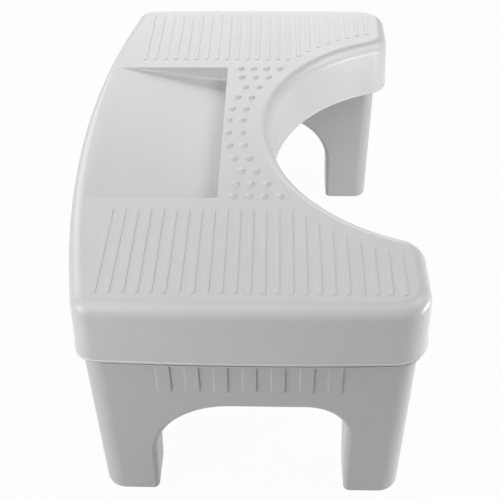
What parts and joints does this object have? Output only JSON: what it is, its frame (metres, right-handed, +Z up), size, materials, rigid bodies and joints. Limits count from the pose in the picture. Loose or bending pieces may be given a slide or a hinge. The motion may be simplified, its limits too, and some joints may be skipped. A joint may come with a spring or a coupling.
{
  "type": "bathroom step stool",
  "caption": "Plastic step stool with a ribbed and domed deck, a round cut-out in its back, a sunk ramp, and arched leg frames plugged in under its ends.",
  "frame": {"origin": "on the floor, under the middle of the bounding box", "axes": "+X along the stool to the end with leg_near, +Y towards the cut-out in the back, +Z up"},
  "size_m": [0.4572, 0.2858, 0.2249],
  "materials": {
    "stool_plastic": "satin",
    "pad_rubber": "matte",
    "screw_steel": "satin"
  },
  "bodies": {
    "root": {"deck_shell": "stool_plastic", "leg_near": "stool_plastic", "leg_far": "stool_plastic", "foot_pad_1": "pad_rubber", "foot_pad_2": "pad_rubber", "foot_pad_3": "pad_rubber", "foot_pad_4": "pad_rubber", "leg_screw_1": "screw_steel", "leg_screw_2": "screw_steel", "leg_screw_3": "screw_steel", "leg_screw_4": "screw_steel", "leg_screw_5": "screw_steel", "leg_screw_6": "screw_steel"}
  },
  "joints": []
}
